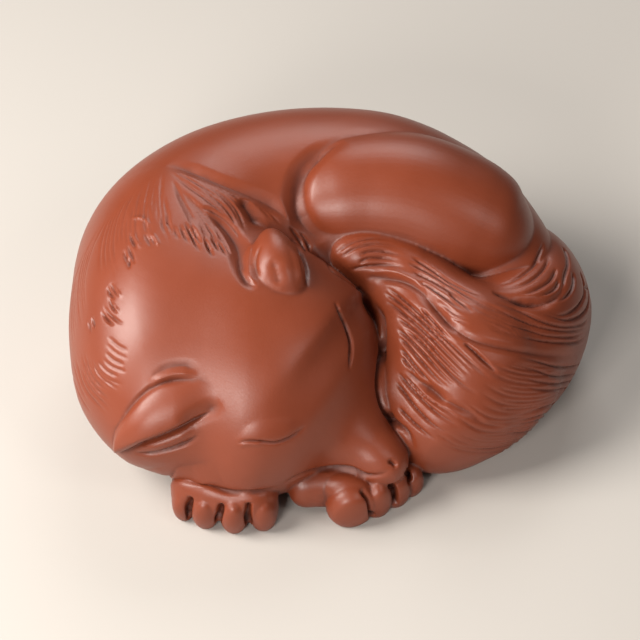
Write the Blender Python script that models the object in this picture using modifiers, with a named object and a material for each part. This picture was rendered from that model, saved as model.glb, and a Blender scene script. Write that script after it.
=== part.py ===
# A tea pet: a sleeping fox curled into a ring, cast as one solid piece of red clay.
# Metres, +Z up. The fox lies on Z = 0 with its nose towards -Y, and the origin is under its middle.

import math

import bmesh
import bpy
import numpy as np
from mathutils import Matrix, Vector
from mathutils.bvhtree import BVHTree

MM = 0.001

# The whole fox
LENGTH = 99.1 * MM  # from the neck on the left to the tail on the right
DEPTH = 85.3 * MM  # from the toes to the spine
HEIGHT = 44.5 * MM  # from the table to the top of the thigh

# Each form at its widest, and the head from the back of the skull to the nose
TORSO_WIDTH = 42.8 * MM
HEAD_WIDTH = 47.0 * MM
HEAD_LENGTH = 66.3 * MM
HAUNCH_WIDTH = 26.6 * MM
TAIL_WIDTH = 29.2 * MM
BRUSH_WIDTH = 31.0 * MM
CORE_WIDTH = 38.0 * MM
WEB_WIDTH = 30.0 * MM
TOE_WIDTH = 5.0 * MM
BIG_TOE_WIDTH = 8.4 * MM
FOREARM_WIDTH = 8.8 * MM
WRIST_WIDTH = 8.8 * MM
RIGHT_EAR_WIDTH = 9.8 * MM

# Raised places
EAR_RISE = 1.5 * MM  # the left ear over the neck
EAR_INSIDE_RISE = 0.9 * MM
EYELID_RISE = 0.4 * MM
MANE_STEP = 0.9 * MM  # the fur of the neck over the bare back

# Grooves, each with its full width and its depth
EYE_WIDTH = 2.2 * MM
EYE_DEPTH = 0.9 * MM
EAR_GROOVE_WIDTH = 2.4 * MM
EAR_GROOVE_DEPTH = 1.2 * MM
CHIN_WIDTH = 2.8 * MM
CHIN_DEPTH = 1.2 * MM
CHEEK_GAP_WIDTH = 3.2 * MM
CHEEK_GAP_DEPTH = 2.0 * MM  # between the head and the tail
HAUNCH_EDGE_WIDTH = 6.4 * MM
HAUNCH_EDGE_DEPTH = 1.5 * MM
MANE_EDGE_WIDTH = 3.2 * MM
MANE_EDGE_DEPTH = 0.9 * MM
PARTING_WIDTH = 3.6 * MM
PARTING_DEPTH = 1.4 * MM
TUFT_WIDTH = 2.6 * MM
TUFT_DEPTH = 0.8 * MM
TOE_GAP_WIDTH = 2.0 * MM
TOE_GAP_DEPTH = 1.4 * MM
HAIR_WIDTH = 3.2 * MM
HAIR_DEPTH = 1.0 * MM

# How finely the forms are pressed together, and how far the cheek's seam is smoothed
BODY_GRAIN = 1.0 * MM
TAIL_GRAIN = 1.2 * MM
SKIN_GRAIN = 0.5 * MM
SEAM_REACH = 11.0 * MM
TRIANGLES = 11500

# Finish
CLAY_COLOUR = (0.30, 0.075, 0.035, 1.0)
CLAY_ROUGHNESS = 0.45

# The forms' routes, drawn in millimetres for a fox 44.5 mm high.
# Each row is a place (x, y, z), then the half width, the height above and the depth below.
TORSO = [
    (-25, -34.5, 12, 0, 0, 0),
    (-27, -29.5, 14.2, 12.4, 11, 11),
    (-28.6, -21, 17.2, 18.4, 17, 17.4),
    (-28.8, -11, 20.3, 20.5, 20, 21.5),
    (-28.6, -1, 21.6, 20.9, 20.8, 23.4),
    (-27.6, 8, 22, 21, 21, 24),
    (-21, 16.7, 22, 21, 21, 24),
    (-10.5, 21.5, 22, 21.3, 21, 24),
    (0, 22.5, 22, 21.4, 21, 24),
    (8, 21.1, 22, 21.2, 21, 24),
    (14.8, 20, 21, 19.8, 20, 23),
    (20.7, 18, 20, 18, 18.5, 22),
    (27.3, 13.6, 18, 15.4, 16.5, 20),
    (32, 8, 16, 13.2, 14, 18),
    (35, -1, 13, 10, 11, 15),
    (36, -8, 12, 0, 0, 0),
]
HAUNCH = [
    (-11.5, 14, 31, 0, 0, 0),
    (-8.5, 14.8, 31, 8, 9, 10),
    (-2, 16.2, 31, 11.5, 12.6, 14),
    (6, 17.3, 31, 12.8, 14, 15),
    (14, 17.0, 30.4, 13.3, 14.5, 15),
    (21, 15.4, 28.5, 13.3, 14.3, 14),
    (27, 13.8, 26.4, 12.6, 13.5, 13),
    (32, 12.3, 24.6, 10.3, 11.8, 11),
    (35.6, 11.5, 23.6, 6.8, 8.5, 8),
    (38, 11, 23, 0, 0, 0),
]
CORE = [
    (-34, -12, 10, 0, 0, 0),
    (-18, -12, 10, 19, 12, 16),
    (0, -8, 10, 19, 12, 16),
    (15, -6, 10, 17, 12, 16),
    (34, -2, 9, 0, 0, 0),
]
WEB = [
    (-32, 3, 6, 0, 0, 0),
    (-20, 6, 6, 12, 9, 9),
    (-2, 9, 6, 15, 9, 9),
    (14, 9, 6, 14, 9, 9),
    (28, 5, 6, 11.5, 8, 9),
    (39, 2, 6, 0, 0, 0),
]
TAIL = [
    (26, 23, 14, 0, 0, 0),
    (31, 21.5, 15, 6.5, 7, 11),
    (36, 17.5, 15, 7.5, 9, 13),
    (39.5, 11.5, 14.8, 8.2, 11, 14.5),
    (39.6, 5, 14.5, 10, 12.5, 15.5),
    (35.2, -3, 14, 12.6, 15, 15.5),
    (28.8, -9, 13, 14.6, 16, 15.5),
    (22.5, -15.6, 11.6, 14.2, 15, 14),
    (17.2, -18.4, 9.6, 11.8, 12, 12),
    (11.5, -15, 9, 0, 0, 0),
]
BRUSH = [
    (40.5, -11.5, 9, 0, 0, 0),
    (37, -12, 11.5, 10, 9, 11),
    (30.8, -12.6, 13.5, 13, 14, 14.5),
    (24.5, -11.5, 16, 15.5, 15.5, 17),
    (18.5, -6, 19, 13, 14, 17),
    (13.6, 0, 23, 9.5, 10.5, 15),
    (8.4, 3.2, 27.2, 7, 7.5, 11),
    (3.3, 2.4, 30.4, 4.3, 4.6, 7),
    (-1, 2, 31.6, 0, 0, 0),
]
FOREARM = [
    (-8.6, -33.6, 4.6, 0, 0, 0),
    (-7.2, -33.6, 4.8, 2.6, 3.2, 3.4),
    (-3.6, -33.0, 5.2, 3.5, 4.0, 4.6),
    (2, -31.4, 5.2, 4.4, 4.2, 5.4),
    (8, -28.5, 4.2, 4.4, 3.2, 5.0),
    (13, -24, 3, 0, 0, 0),
]
WRIST = [
    (-29, -24, 5, 0, 0, 0),
    (-26, -28, 6, 4, 4, 5),
    (-20, -29.5, 7, 4.4, 4.2, 6),
    (-14, -28.5, 6, 4, 4, 5),
    (-10, -25, 5, 0, 0, 0),
]
RIGHT_EAR = [
    (-9, -17, 37, 0, 0, 0),
    (-9.6, -14.8, 37.4, 4.0, 3.6, 6),
    (-10.8, -10.5, 38.4, 4.9, 5.2, 8),
    (-11.6, -6.6, 38.4, 4.4, 4.6, 7),
    (-12.2, -3, 37.6, 0, 0, 0),
]
# Each toe: where it starts in the paw, its tip, its full width and its half height
LEFT_TOES = [
    ((-26.8, -26, 4.6), (-28.2, -38.2, 3.0), 0.82 * TOE_WIDTH, 4.6),
    ((-22.9, -27, 5.2), (-23.9, -40.3, 3.2), TOE_WIDTH, 5.0),
    ((-18.3, -27, 5.4), (-18.4, -41.4, 3.3), TOE_WIDTH, 5.2),
    ((-13.4, -26, 5.2), (-13.0, -40.8, 3.2), TOE_WIDTH, 5.0),
]
RIGHT_TOES = [
    ((1.4, -28.5, 4.4), (3.5, -39.6, 3.6), BIG_TOE_WIDTH, 4.6),
    ((5.0, -26.6, 4.4), (8.6, -37.0, 3.0), TOE_WIDTH, 4.6),
    ((7.6, -25, 4.2), (12.4, -34.4, 2.6), TOE_WIDTH, 4.2),
    ((10.0, -23, 3.8), (15.4, -31.6, 2.2), 0.88 * TOE_WIDTH, 3.6),
]
# The head's rows: along it, to its side and up, then the half width, the height above and below.
HEAD = [
    (-25, 1, -3, 0, 0, 0),
    (-21, 1, -2, 13, 11, 12),
    (-12, 1, -1, 19.5, 17, 18),
    (0, 1, 0, 22.5, 20, 21),
    (8, 1.5, 0, 23.5, 19.5, 20),
    (15.5, 2, -1, 23, 18, 18),
    (20.5, 1.5, -1.5, 20.3, 15.2, 16),
    (24.5, 1.2, -2, 15.6, 12, 13),
    (28, 1, -2.2, 10.4, 9, 10),
    (32, 1.1, -2.2, 6.9, 7, 6.8),
    (36.5, 1.2, -2.2, 5.4, 5.8, 5.2),
    (39.5, 1.1, -2.5, 3.9, 4.4, 4.0),
    (41.3, 1.0, -3, 0, 0, 0),
]
HEAD_PLACE = (-19.4, -10.5, 21.0)
HEAD_FORWARD = (0.79, -0.55, -0.27)
HEAD_FACING = (-0.07, -0.50, 0.84)
SEAM = [(-24, 8, 41), (-24.5, -2, 41), (-25.5, -13, 37), (-24.5, -22, 30), (-24.5, -28, 22), (-27, -31, 12)]


def widest(rows):
    return max(row[3] for row in rows)


def stretches():
    """How far the drawn routes are spread along X, Y and Z to make the fox as long, deep and high as it is."""
    left = min(TORSO, key=lambda row: row[0])
    right = max(TAIL, key=lambda row: row[0])
    back = max(TORSO, key=lambda row: row[1])
    toe_tip = min(tip[1] for _, tip, _, _ in LEFT_TOES)
    neck = left[3] / widest(TORSO) * TORSO_WIDTH / 2
    rump = right[3] / widest(TAIL) * TAIL_WIDTH / 2
    spine = back[3] / widest(TORSO) * TORSO_WIDTH / 2
    return np.array([
        (LENGTH - neck - rump) / (right[0] - left[0]),
        (DEPTH - spine) / (back[1] - toe_tip),
        HEIGHT / 44.5,
    ])


STRETCH = stretches()


def placed(point):
    """A drawn place in millimetres, as a place in the fox."""
    return Vector(np.asarray(point, float) * STRETCH)


def stations_of(rows, width):
    """The rows of a route at its real place and width."""
    return [
        (*placed(row[:3]), row[3] / widest(rows) * width / 2, row[4] * STRETCH[2], row[5] * STRETCH[2])
        for row in rows
    ]


def emptied_scene():
    for old in list(bpy.data.objects):
        bpy.data.objects.remove(old)


def curve_through(shares, values, wanted):
    """Values on a smooth curve through a row of known ones, at the wanted shares of its length."""
    shares, values = np.asarray(shares, float), np.asarray(values, float)
    steps = np.diff(shares)
    slopes = np.diff(values, axis=0) / steps[:, None]
    ends = np.empty_like(values)
    ends[0], ends[-1] = slopes[0], slopes[-1]
    ends[1:-1] = (slopes[:-1] * steps[1:, None] + slopes[1:] * steps[:-1, None]) / (steps[1:] + steps[:-1])[:, None]
    spans = np.clip(np.searchsorted(shares, wanted, "right") - 1, 0, len(steps) - 1)
    width = steps[spans][:, None]
    t = ((wanted - shares[spans]) / steps[spans])[:, None]
    first, last = values[spans], values[spans + 1]
    return (
        first * (1 + 2 * t) * (1 - t) ** 2
        + last * (3 - 2 * t) * t**2
        + width * ends[spans] * t * (1 - t) ** 2
        - width * ends[spans + 1] * t**2 * (1 - t)
    )


def along_path(stations, up, wanted):
    """Centres, side and upright directions, and the three half sizes, at the wanted shares of the path."""
    stations = np.asarray(stations, float)
    runs = np.linalg.norm(np.diff(stations[:, :3], axis=0), axis=1)
    shares = np.concatenate([[0.0], np.cumsum(runs)]) / runs.sum()
    rows = np.hstack([stations[:, :3], stations[:, 3:] ** 2])
    found = curve_through(shares, rows, wanted)
    nudge = 1e-3
    ahead = curve_through(shares, rows[:, :3], np.clip(wanted + nudge, 0, 1))
    behind = curve_through(shares, rows[:, :3], np.clip(wanted - nudge, 0, 1))
    forward = ahead - behind
    forward /= np.linalg.norm(forward, axis=1)[:, None]
    side = np.cross(forward, np.asarray(up, float))
    side /= np.linalg.norm(side, axis=1)[:, None]
    upright = np.cross(side, forward)
    return found[:, :3], side, upright, np.sqrt(np.clip(found[:, 3:], 0, None))


def swept_form(name, stations, up=(0, 0, 1), sides=64, rings=96):
    """A closed soft form: a sphere whose rings follow the stations (x, y, z, half width, top, bottom)."""
    mesh = bpy.data.meshes.new(name)
    shape = bmesh.new()
    bmesh.ops.create_uvsphere(shape, u_segments=sides, v_segments=rings, radius=1.0)
    shape.to_mesh(mesh)
    shape.free()
    points = np.empty(len(mesh.vertices) * 3, np.float32)
    mesh.vertices.foreach_get("co", points)
    points = points.reshape(-1, 3).astype(float)
    share = np.clip((points[:, 2] + 1) / 2, 0, 1)
    centre, side, upright, half = along_path(stations, up, share)
    ring = np.maximum(np.hypot(points[:, 0], points[:, 1]), 1e-9)
    across, rise = points[:, 0] / ring, points[:, 1] / ring
    tall = np.where(rise > 0, half[:, 1], half[:, 2])
    moved = centre + side * (across * half[:, 0])[:, None] + upright * (rise * tall)[:, None]
    mesh.vertices.foreach_set("co", moved.astype(np.float32).ravel())
    mesh.update()
    shape = bmesh.new()
    shape.from_mesh(mesh)
    bmesh.ops.recalc_face_normals(shape, faces=shape.faces)
    shape.to_mesh(mesh)
    shape.free()
    made = bpy.data.objects.new(name, mesh)
    bpy.context.scene.collection.objects.link(made)
    return made


def joined(name, forms):
    """One object that holds the meshes of several, which are removed."""
    shape = bmesh.new()
    for form in forms:
        copy = form.data.copy()
        copy.transform(form.matrix_world)
        shape.from_mesh(copy)
        bpy.data.meshes.remove(copy)
        bpy.data.objects.remove(form)
    mesh = bpy.data.meshes.new(name)
    shape.to_mesh(mesh)
    shape.free()
    made = bpy.data.objects.new(name, mesh)
    bpy.context.scene.collection.objects.link(made)
    return made


def with_modifiers_applied(made):
    bpy.context.view_layer.update()
    graph = bpy.context.evaluated_depsgraph_get()
    mesh = bpy.data.meshes.new_from_object(made.evaluated_get(graph))
    made.modifiers.clear()
    made.data = mesh
    return made


def fused(name, forms, voxel, smoothing, strength=0.5):
    """The forms as one closed skin, with the joins between them softened."""
    made = joined(name, forms)
    remesh = made.modifiers.new("skin", "REMESH")
    remesh.mode = "VOXEL"
    remesh.voxel_size = voxel
    if smoothing:
        smooth = made.modifiers.new("soften", "SMOOTH")
        smooth.factor = strength
        smooth.iterations = smoothing
    return with_modifiers_applied(made)


def frame_of(forward, facing):
    """Forward, upright and side directions of a form that faces a given way."""
    forward = Vector(forward).normalized()
    upright = (Vector(facing) - forward * Vector(facing).dot(forward)).normalized()
    return forward, upright, forward.cross(upright)


def head_form():
    forward, upright, side = frame_of(HEAD_FORWARD, HEAD_FACING)
    longer = HEAD_LENGTH / (HEAD[-1][0] - HEAD[0][0])
    wider = HEAD_WIDTH / (2 * widest(HEAD))
    higher = STRETCH[2]
    stations = []
    for along, across, up, half, above, below in HEAD:
        place = placed(HEAD_PLACE) + forward * along * longer + side * across * wider + upright * up * higher
        stations.append((*place, half * wider, above * higher, below * higher))
    return swept_form("skull", stations, upright)


def torso_form():
    return swept_form("torso", stations_of(TORSO, TORSO_WIDTH), rings=160)


def haunch_form():
    """The thigh, with its upright direction towards the front and above."""
    return swept_form("haunch", stations_of(HAUNCH, HAUNCH_WIDTH), up=(0, -0.72, 0.69))


def middle_forms():
    """What fills the ring under the head and the tail, down to the foot."""
    return [
        swept_form("core", stations_of(CORE, CORE_WIDTH)),
        swept_form("web", stations_of(WEB, WEB_WIDTH)),
    ]


def tail_forms():
    """The tail from the rump round the right side, and the brush that curls up to its tip."""
    return [
        swept_form("tail base", stations_of(TAIL, TAIL_WIDTH)),
        swept_form("brush", stations_of(BRUSH, BRUSH_WIDTH)),
    ]


def toe(start, tip, width, rise):
    """A blunt toe from inside the paw to its tip on the table."""
    start, tip = np.array(start), np.array(tip)
    fullness = [(0.0, 0.0), (0.2, 0.85), (0.5, 1.0), (0.84, 1.0), (0.95, 0.72), (1.0, 0.0)]
    rows = [(*(start + (tip - start) * share), full, rise * full, rise * full) for share, full in fullness]
    return swept_form("toe", stations_of(rows, width), sides=32, rings=32)


def paw_forms():
    forms = [toe(*each) for each in LEFT_TOES + RIGHT_TOES]
    forms.append(swept_form("forearm", stations_of(FOREARM, FOREARM_WIDTH), sides=32, rings=32))
    forms.append(swept_form("left wrist", stations_of(WRIST, WRIST_WIDTH), sides=32, rings=32))
    return forms


def right_ear_form():
    return swept_form("right ear", stations_of(RIGHT_EAR, RIGHT_EAR_WIDTH), sides=48, rings=48)


def seam_softened(made, rounds=160):
    """Lets the neck run into the cheek without a crease."""
    points = np.array([tuple(corner.co) for corner in made.data.vertices])
    route = np.array([tuple(placed(place)) for place in SEAM])
    runs = np.linalg.norm(np.diff(route, axis=0), axis=1)
    shares = np.concatenate([[0.0], np.cumsum(runs)]) / runs.sum()
    route = curve_through(shares, route, np.linspace(0, 1, 60))
    away = np.min(np.linalg.norm(points[:, None, :] - route[None], axis=2), axis=1)
    weights = np.clip(1.4 * (1 - away / SEAM_REACH), 0, 1)
    seam = made.vertex_groups.new(name="seam")
    for index in np.nonzero(weights)[0]:
        seam.add([int(index)], float(weights[index]), "REPLACE")
    soften = made.modifiers.new("soften", "SMOOTH")
    soften.factor = 0.5
    soften.iterations = rounds
    soften.vertex_group = seam.name
    with_modifiers_applied(made)
    made.vertex_groups.clear()
    return made


def cut_flat(made, level=0.0):
    """Removes what is under a level, and closes the foot with a flat face."""
    shape = bmesh.new()
    shape.from_mesh(made.data)
    everything = shape.verts[:] + shape.edges[:] + shape.faces[:]
    bmesh.ops.bisect_plane(shape, geom=everything, plane_co=(0, 0, level), plane_no=(0, 0, -1), clear_outer=True)
    rim = [edge for edge in shape.edges if edge.is_boundary]
    bmesh.ops.triangle_fill(shape, edges=rim, use_beauty=True, normal=(0, 0, -1))
    shape.to_mesh(made.data)
    shape.free()


# Strokes are drawn on a square of 640 units a side, seen from in front and above.
DRAWING_SIDE = 640
DRAWING_SCALE = 5.275  # units to the millimetre
DRAWING_MIDDLE = np.array((-2.7, -1.5, 17.0))
VIEW_SLOPE = math.radians(44.0)
VIEW_AWAY = 455.0
VIEW_UP = np.array((0, math.sin(VIEW_SLOPE), math.cos(VIEW_SLOPE)))
VIEW_BACK = np.array((0, -math.cos(VIEW_SLOPE), math.sin(VIEW_SLOPE)))
VIEW_PLACE = DRAWING_MIDDLE + VIEW_BACK * VIEW_AWAY


class Skin:
    """The surface while it is carved: strokes are laid on it, then pressed in or raised along its normals."""

    def __init__(self, made):
        self.mesh = made.data
        self.points = np.array([tuple(corner.co) for corner in self.mesh.vertices])
        self.normals = np.array([tuple(corner.vector) for corner in self.mesh.vertex_normals])
        self.pressed = np.zeros(len(self.points))
        self.raised = np.zeros(len(self.points))
        self.tree = tree_of(made)

    def seen(self, across, down):
        """Where the line of sight through a place on the drawing meets the surface."""
        offset = np.array((across - DRAWING_SIDE / 2, 0, 0)) + VIEW_UP * (DRAWING_SIDE / 2 - down)
        place, eye = placed(DRAWING_MIDDLE + offset / DRAWING_SCALE), placed(VIEW_PLACE)
        hit = self.tree.ray_cast(eye, (place - eye).normalized())[0]
        return hit or self.tree.find_nearest(place)[0]

    def drawn_places(self):
        """Every point of the surface, as across and down on the drawing."""
        offset = self.points / STRETCH - VIEW_PLACE
        away = -offset @ VIEW_BACK
        reach = DRAWING_SCALE * VIEW_AWAY
        middle = DRAWING_SIDE / 2
        return middle + reach * offset[:, 0] / away, middle - reach * (offset @ VIEW_UP) / away

    def laid(self, points, steps):
        """A smooth row of places on the surface through a stroke's points, drawn ones or ones in space."""
        rows = smooth_row(points, steps)
        if rows.shape[1] == 2:
            return np.array([self.seen(*row) for row in rows])
        return np.array([self.tree.find_nearest(placed(row))[0] for row in rows])

    def stroke(self, points, width, depth, steps=30, tip=0.25, power=1.5):
        """Presses a groove of a width and a depth along a stroke."""
        row = self.laid(points, steps)
        half = width / 2
        low, high = row.min(axis=0) - half, row.max(axis=0) + half
        near = np.nonzero(np.all((self.points > low) & (self.points < high), axis=1))[0]
        places = self.points[near]
        best = np.full(len(near), np.inf)
        share = np.zeros(len(near))
        for step in range(len(row) - 1):
            start, run = row[step], row[step + 1] - row[step]
            along = np.clip((places - start) @ run / max(run @ run, 1e-18), 0, 1)
            away = np.linalg.norm(places - start - along[:, None] * run, axis=1)
            closer = away < best
            best[closer] = away[closer]
            share[closer] = (step + along[closer]) / (len(row) - 1)
        ends = np.clip(np.minimum(share, 1 - share) / tip, 0, 1) ** 0.5 if tip else 1.0
        amount = depth * ends * np.clip(1 - best / half, 0, 1) ** power
        self.pressed[near] = np.maximum(self.pressed[near], amount)

    def swell(self, upper, lower, rise, fullest=0.75, tips=(0.1, 0.3), edge=0.08):
        """Raises the surface between two drawn edges, fullest at a share of the way down to the lower one."""
        across, down = self.drawn_places()
        above, below = smooth_row(upper, 40), smooth_row(lower, 40)
        left, right = max(above[0, 0], below[0, 0]), min(above[-1, 0], below[-1, 0])
        top = np.interp(across, above[:, 0], above[:, 1])
        bottom = np.interp(across, below[:, 0], below[:, 1])
        share = (down - top) / np.maximum(bottom - top, 0.5)
        along = (across - left) / (right - left)
        dome = (1 - ((share - fullest) / fullest) ** 2) * np.clip((1 - share) / edge + 0.5, 0, 1)
        dome *= np.clip(along / tips[0], 0, 1) ** 0.5 * np.clip((1 - along) / tips[1], 0, 1) ** 1.5
        facing = ((np.array(placed(VIEW_PLACE)) - self.points) * self.normals).sum(axis=1) > 0
        middle = np.array(self.seen(*((above[20] + below[20]) / 2)))
        close = np.linalg.norm(self.points - middle, axis=1) < HEAD_WIDTH / 2
        inside = facing & close & (share > 0) & (share < 1 + edge) & (along > 0) & (along < 1)
        self.raised[inside] = np.maximum(self.raised[inside], dome[inside] * rise)

    def settle(self):
        moved = self.points + self.normals * (self.raised - self.pressed)[:, None]
        self.mesh.vertices.foreach_set("co", moved.astype(np.float32).ravel())
        self.mesh.update()


def smooth_row(points, steps):
    points = np.asarray(points, float)
    runs = np.linalg.norm(np.diff(points, axis=0), axis=1)
    shares = np.concatenate([[0.0], np.cumsum(runs)]) / runs.sum()
    return curve_through(shares, points, np.linspace(0, 1, steps))


def tree_of(made):
    shape = bmesh.new()
    shape.from_mesh(made.data)
    tree = BVHTree.FromBMesh(shape)
    shape.free()
    return tree


def strands(guides, count):
    """Strokes spread evenly between guide strokes that have the same number of points."""
    guides = np.asarray(guides, float)
    made = []
    for place in np.linspace(0, len(guides) - 1, count):
        first = min(int(place), len(guides) - 2)
        made.append(guides[first] + (guides[first + 1] - guides[first]) * (place - first))
    return made


LEFT_EYE = [(237, 443), (247, 441), (258, 441), (276, 442), (290, 437), (306, 426)]
LEFT_LID = [(235, 440), (250, 424), (272, 418), (292, 418), (307, 424)]
RIGHT_EYE = [(335, 301), (341, 315), (347, 329), (351, 343), (351, 356), (349, 371)]
EAR_TOP = [(115, 430), (131, 406), (149, 390), (162, 383), (177, 379), (197, 378), (218, 386)]
EAR_SLIT = [(115, 450), (120, 450), (147, 440), (172, 430), (193, 420), (218, 407)]
EAR_INSIDE = [(132, 451), (147, 444), (172, 434), (197, 422)]
EAR_UNDERSIDE = [(132, 453), (147, 454), (162, 451), (182, 445), (197, 438)]
CHEEK_FOLD = [(168, 481), (182, 479), (197, 478)]
PAW_LINE = [(178, 484), (194, 488), (218, 492), (245, 493), (267, 490), (280, 485)]
CHIN_LINE = [(283, 484), (296, 477), (309, 472), (330, 468), (351, 469), (368, 476), (380, 475), (392, 470)]
NOSTRIL = [(391, 462), (393, 463), (395, 465)]
CHEEK_GAP = [(323, 254), (331, 269), (347, 281), (362, 292), (374, 303), (381, 314), (383.5, 330), (382.5, 350),
             (379.5, 368), (378.5, 390), (383, 408), (394, 422), (408, 434), (414, 450)]
HAUNCH_EDGE = [(345, 141), (328, 148), (313, 159), (302, 174), (297, 193), (298, 214), (307, 230), (322, 243)]
RIGHT_EAR_FOOT = [(244, 252), (243, 264), (247, 277), (255, 286), (266, 289)]
MANE_EDGE = [(168, 164), (191, 170), (217, 181), (244, 192), (268, 204), (291, 222), (306, 238)]
PARTINGS = [
    [(199, 209), (211, 216), (222, 224), (231, 232), (238, 242), (242, 262), (248, 281), (256, 288)],
    [(238, 195), (250, 211), (260, 227)],
    [(358, 279), (388, 278), (401, 281), (416, 291), (430, 304), (444, 320), (459, 334), (478, 345)],
    [(406, 368), (424, 382), (443, 399), (462, 410), (475, 419), (487, 426)],
    [(496, 292), (517, 300), (540, 303), (555, 300), (561, 291), (559, 278)],
]
TUFTS = [
    [(148, 231), (152, 239), (156, 247)], [(128, 232), (133, 241), (138, 249)], [(127, 252), (129, 263), (131, 275)],
    [(109, 282), (115, 290), (121, 298)], [(104, 306), (114, 315), (125, 323)], [(104, 348), (115, 358), (128, 364)],
    [(88, 350), (97, 375), (123, 395)], [(78, 348), (88, 383), (115, 412)], [(200, 227), (206, 240), (213, 254)],
]
TOE_GAPS = [
    [(191, 496), (189, 506), (191, 524)], [(222, 503), (219, 516), (218, 532)], [(249, 502), (248, 516), (250, 533)],
    [(361, 489), (369, 500), (372, 516)], [(390, 484), (394, 492), (395, 504)], [(406, 470), (408, 476), (409, 484)],
]
UPPER_LOCK = [
    [(338, 246), (377, 234), (397, 240), (435, 265), (470, 285), (497, 298), (517, 305), (562, 311), (583, 303)],
    [(349, 259), (385, 248), (403, 255), (445, 285), (472, 304), (503, 318), (525, 326), (568, 330), (590, 322)],
]
LOWER_LOCK = [
    [(376, 283), (404, 297), (425, 314), (444, 334), (462, 348), (486, 357), (511, 361), (542, 364), (572, 361)],
    [(388, 302), (405, 313), (420, 325), (437, 343), (457, 361), (482, 376), (508, 383), (536, 386), (570, 381)],
    [(397, 327), (412, 341), (427, 356), (442, 370), (458, 383), (479, 396), (505, 405), (532, 407), (562, 400)],
    [(399, 348), (416, 368), (431, 382), (447, 395), (464, 407), (484, 418), (505, 424), (528, 424), (550, 418)],
    [(398, 405), (408, 413), (420, 420), (430, 430), (447, 442), (466, 447), (480, 449), (488, 449), (494, 449)],
]
OUTER_TAIL = [
    [(47, 6, 21), (47, 13, 21), (44, 22, 20), (40, 28, 19)],
    [(49, 4, 14), (49, 13, 14), (46, 23, 14), (41, 30, 14)],
    [(47, -2, 7), (48, 11, 7), (46, 23, 8), (41, 30, 9)],
    [(43, -8, 2), (46, 8, 2), (45, 22, 3), (40, 29, 5)],
]


def carve(skin):
    skin.swell(EAR_TOP, EAR_SLIT, EAR_RISE, tips=(0.06, 0.35))
    skin.swell(EAR_INSIDE, EAR_UNDERSIDE, EAR_INSIDE_RISE, fullest=0.6, tips=(0.2, 0.3), edge=0.2)
    skin.swell(LEFT_LID, LEFT_EYE, EYELID_RISE, fullest=0.85, tips=(0.3, 0.3))
    for eye in (LEFT_EYE, RIGHT_EYE, NOSTRIL):
        skin.stroke(eye, EYE_WIDTH, EYE_DEPTH)
    for line in (EAR_SLIT, EAR_UNDERSIDE, RIGHT_EAR_FOOT):
        skin.stroke(line, EAR_GROOVE_WIDTH, EAR_GROOVE_DEPTH)
    for line in (CHIN_LINE, PAW_LINE, CHEEK_FOLD):
        skin.stroke(line, CHIN_WIDTH, CHIN_DEPTH)
    skin.stroke(CHEEK_GAP, CHEEK_GAP_WIDTH, CHEEK_GAP_DEPTH)
    skin.stroke(HAUNCH_EDGE, HAUNCH_EDGE_WIDTH, HAUNCH_EDGE_DEPTH)
    skin.stroke(MANE_EDGE, MANE_EDGE_WIDTH, MANE_EDGE_DEPTH)
    for parting in PARTINGS:
        skin.stroke(parting, PARTING_WIDTH, PARTING_DEPTH)
    for tuft in TUFTS:
        skin.stroke(tuft, TUFT_WIDTH, TUFT_DEPTH)
    for gap in TOE_GAPS:
        skin.stroke(gap, TOE_GAP_WIDTH, TOE_GAP_DEPTH, tip=0)
    for guides, count in ((UPPER_LOCK, 3), (LOWER_LOCK, 6), (OUTER_TAIL, 5)):
        for hair in strands(guides, count):
            skin.stroke(hair, HAIR_WIDTH, HAIR_DEPTH)


def raise_mane(skin, torso_tree):
    """Lifts the fur of the neck in front of its two edges, which meet in a point on the spine."""
    point = np.array((-31, 14.6, 42))
    inner = np.array((-0.448, -0.853, -0.269))
    outer = np.array((-0.354, -0.692, 0.629))
    drawn = skin.points / STRETCH - point
    ahead = np.minimum(drawn @ inner, drawn @ outer)
    lift = np.clip(ahead, 0, 1) * np.exp(-np.clip(ahead, 0, None) / 9)
    for index in np.nonzero(lift > 0)[0]:
        away = torso_tree.find_nearest(Vector(skin.points[index]))[3]
        lift[index] *= max(0.0, 1.0 - away / MANE_STEP)
    skin.raised += lift * MANE_STEP


def centred(made):
    """The object with its outline centred over the origin."""
    places = np.array([tuple(corner.co) for corner in made.data.vertices])
    low, high = places.min(axis=0), places.max(axis=0)
    made.data.transform(Matrix.Translation((-(low[0] + high[0]) / 2, -(low[1] + high[1]) / 2, 0)))
    return made


def build():
    torso = torso_form()
    torso_tree = tree_of(torso)
    body = seam_softened(fused("body", [torso, *middle_forms(), head_form()], BODY_GRAIN, 6))
    tail = fused("tail", tail_forms(), TAIL_GRAIN, 8)
    forms = [body, right_ear_form(), haunch_form(), tail, *paw_forms()]
    fox = fused("sleeping_fox", forms, SKIN_GRAIN, 2)
    cut_flat(fox, -1.5 * STRETCH[2])
    skin = Skin(fox)
    carve(skin)
    raise_mane(skin, torso_tree)
    skin.settle()
    kept = fox.vertex_groups.new(name="carving")
    for index in np.nonzero(skin.pressed > HAIR_DEPTH / 9)[0]:
        kept.add([int(index)], 0.5, "REPLACE")
    faces = sum(len(face.vertices) - 2 for face in fox.data.polygons)
    thin = fox.modifiers.new("fewer faces", "DECIMATE")
    thin.ratio = TRIANGLES / faces
    thin.vertex_group = kept.name
    thin.invert_vertex_group = True
    thin.vertex_group_factor = 4e-6
    with_modifiers_applied(fox)
    fox.vertex_groups.clear()
    cut_flat(fox)
    return centred(fox)


def red_clay():
    clay = bpy.data.materials.new("unglazed red clay")
    clay.use_nodes = True
    surface = clay.node_tree.nodes["Principled BSDF"]
    surface.inputs["Base Color"].default_value = CLAY_COLOUR
    surface.inputs["Roughness"].default_value = CLAY_ROUGHNESS
    return clay


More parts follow.
